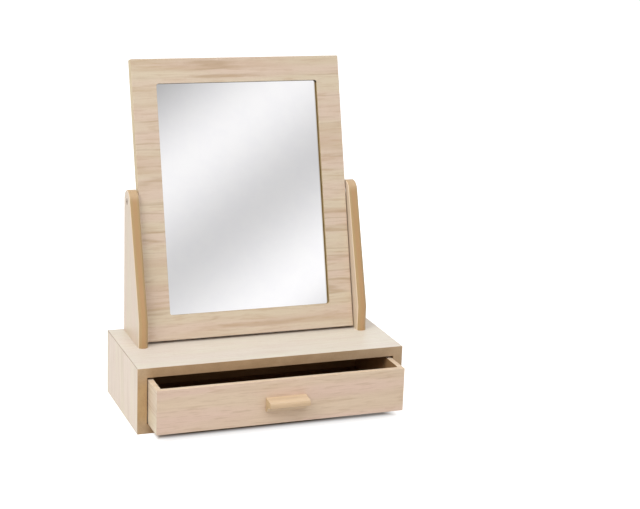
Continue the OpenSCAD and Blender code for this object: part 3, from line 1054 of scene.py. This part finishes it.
def drive(model, name, at, out, twist):
    """A copy of a screw with its head at one point, looking out one way."""
    piece = model.copy()
    piece.data = model.data.copy()
    piece.name = name
    bpy.context.collection.objects.link(piece)
    turn = out.to_track_quat("Z", "Y").to_matrix().to_4x4() @ Matrix.Rotation(twist, 4, "Z")
    piece.data.transform(Matrix.Translation(at) @ turn)
    paint(piece, steel)
    return piece


BACKING_STEP_X, BACKING_STEP_Z = 110 * MM, 88 * MM
BACKING_FACE = -FRAME_T / 2 + LIP + GLASS_T + BACKING_T
side_row = WINDOW_W / 2 + GLASS_LAP + BACKING_LAP / 2
end_row = WINDOW_H / 2 + GLASS_LAP + BACKING_LAP / 2
spots = [(side * side_row, step * BACKING_STEP_Z) for side in (-1, 1) for step in (-1, 0, 1)]
spots += [(side * BACKING_STEP_X / 2, end * end_row) for side in (-1, 1) for end in (-1, 1)]
backing_screw = pan_screw(length=6.5 * MM)
for number, (x, z) in enumerate(spots, start=1):
    piece = drive(
        backing_screw, f"backing_screw_{number}", LEAN_BACK @ Vector((x, BACKING_FACE, z)),
        out=LEAN_BACK.to_3x3() @ Vector((0, 1, 0)), twist=number * 1.1,
    )
    fit(piece, "mirror", "steel", "backing_screws")
discard(backing_screw)

# %% [markdown]
# ## The drawer
# The drawer's front and sides are thin boards that meet in mitres too, so no end shows at
# the front corners. The top edges are bare and stay pale. Each board is a block whose inner
# face is drawn in, as on the box, but only at the mitred end.

# %% Drawer boards
DRAWER_T = 5.5 * MM
drawer_low, drawer_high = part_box("drawer_front")
DRAWER_W = drawer_high.x - drawer_low.x
DRAWER_Y = drawer_low.y
back_low, back_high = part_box("drawer_back")
drawer_back_y = back_high.y

front = block("drawer_face", drawer_low, drawer_high)
draw_in(front, (0, 1, 0), ((DRAWER_W - 2 * DRAWER_T) / DRAWER_W, 1, 1))
soften(front, ROUNDING)
paint(
    front, veneer_drawer,
    (bare["drawer_inside"], lambda face: face.normal.y > 0.7),
    (bare["bare_drawer_edge"], lambda face: abs(face.normal.z) > 0.6),
)
fit(front, "drawer", "veneer", "drawer_front")


def drawer_side(name, side):
    outer, inner = side * DRAWER_W / 2, side * (DRAWER_W / 2 - DRAWER_T)
    piece = block(
        name, (min(outer, inner), DRAWER_Y, drawer_low.z),
        (max(outer, inner), drawer_back_y, drawer_high.z),
    )
    depth = drawer_back_y - DRAWER_Y
    draw_in(
        piece, (-side, 0, 0), (1, (depth - DRAWER_T) / depth, 1),
        center_override=(inner, drawer_back_y, 0),
    )
    soften(piece, ROUNDING)
    paint(
        piece, veneer_y,
        (bare["drawer_inside"], lambda face: face.normal.x * side < -0.7),
        (bare["bare_drawer_edge"], lambda face: abs(face.normal.z) > 0.6),
    )
    fit(piece, "drawer", "veneer", name.replace("drawer_cheek_", "drawer_") + "_side")


drawer_side("drawer_cheek_left", -1)
drawer_side("drawer_cheek_right", 1)

tail = block("drawer_tail", back_low, back_high)
soften(tail, ROUNDING)
paint(
    tail, bare["drawer_inside"], (veneer_x, lambda face: face.normal.y > 0.7),
    (bare["bare_drawer_edge"], lambda face: face.normal.z > 0.6),
)
fit(tail, "drawer", "veneer", "drawer_back")

# %% [markdown]
# ## The handle
# The handle is a short length of solid wood: flat on top with a slight fall to the front, a
# round nose, and a hollow below it for the fingertips. The block's top is sawn to its
# slope, a round bar takes out the hollow, and the two edges of the lip that is left are
# bevelled until they meet in the nose.

# %% Handle
HANDLE_H, HANDLE_OUT = 14.5 * MM, 14.5 * MM
NOSE_R, NOSE_UP, NOSE_BEVEL = 3 * MM, 2.4 * MM, 2.45 * MM
COVE_R, COVE_BITE = 11 * MM, 0.5 * MM
HANDLE_SCREW_GAP = 20 * MM
HANDLE_ROUNDING = 0.35 * MM
handle_low, handle_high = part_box("drawer_handle")
handle_z = (handle_low.z + handle_high.z) / 2
handle = block("pull", handle_low, handle_high)
top_fall = Vector((0, HANDLE_OUT - NOSE_R, NOSE_UP + NOSE_R - HANDLE_H / 2))
top_out = Vector((0, top_fall.z, top_fall.y)).normalized()


def saw_top():
    bpy.ops.mesh.select_all(action="SELECT")
    bpy.ops.mesh.bisect(
        plane_co=(0, DRAWER_Y, handle_high.z), plane_no=top_out, use_fill=True, clear_outer=True
    )


shape(handle, "FACE", lambda face: True, saw_top)
cove_y = DRAWER_Y - (HANDLE_OUT - NOSE_R / 2)
cove_z = handle_z + NOSE_UP - NOSE_R + COVE_BITE - COVE_R
cove = rod(
    "cove", COVE_R, (handle_low.x - MM, cove_y, cove_z), (handle_high.x + MM, cove_y, cove_z),
    sides=96,
)
cut(handle, cove)
discard(cove)
nose_y = handle_low.y
lip = edge_at(lambda co: near(co.y, nose_y))
shape(
    handle, "EDGE",
    lambda edge: lip(edge) and abs(edge.verts[0].co.x - edge.verts[1].co.x) > MM,
    lambda: bpy.ops.mesh.bevel(offset=NOSE_BEVEL, segments=7, affect="EDGES"),
)
soften(handle, HANDLE_ROUNDING)
paint(
    handle, handle_wood,
    # Painted shade on the nose.
    (handle_nose_painted_shade, lambda face: face.normal.y < -0.5 and face.center.y < nose_y + 2 * NOSE_R),
    # The pale hollow throws more warm light into the shade below the handle.
    (bare["handle_hollow_bounce_light"], lambda face: face.normal.z < -0.3 and face.normal.y > -0.5),
    (bare["handle_end_grain"], lambda face: abs(face.normal.x) > 0.9),
)
fit(handle, "drawer", "solid_wood", "drawer_handle")

handle_x = (handle_low.x + handle_high.x) / 2
handle_screw = pan_screw(length=13.5 * MM)
for number, side in enumerate((-1, 1), start=1):
    at = Vector((handle_x + side * HANDLE_SCREW_GAP / 2, DRAWER_Y + DRAWER_T, handle_z + NOSE_UP))
    piece = drive(
        handle_screw, f"handle_screw_{number}", at, out=Vector((0, 1, 0)), twist=number * 0.8
    )
    fit(piece, "drawer", "steel", "handle_screws")
discard(handle_screw)

# %% [markdown]
# ## Pieces that keep their CAD shape
# The panes, the panels and the pins are plain shapes, and the CAD has them right. They keep
# their meshes, and only get their finish. A finish is given by putting it in the first
# material slot of the node's object.

# %% Finishes for the CAD's own pieces
kept = {
    "carcass_back": bare["hardboard"], "back_pins": steel, "post_screws": steel,
    "mirror_glass": silver, "mirror_backing": bare["hardboard"],
    "left_pivot_washer": nylon, "right_pivot_washer": nylon,
    "drawer_bottom": bare["hardboard"], "drawer_pins": steel,
}
for node, finish in kept.items():
    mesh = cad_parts[node].data
    mesh.materials.clear()
    mesh.materials.append(finish)
print("CAD nodes kept:", len(kept))
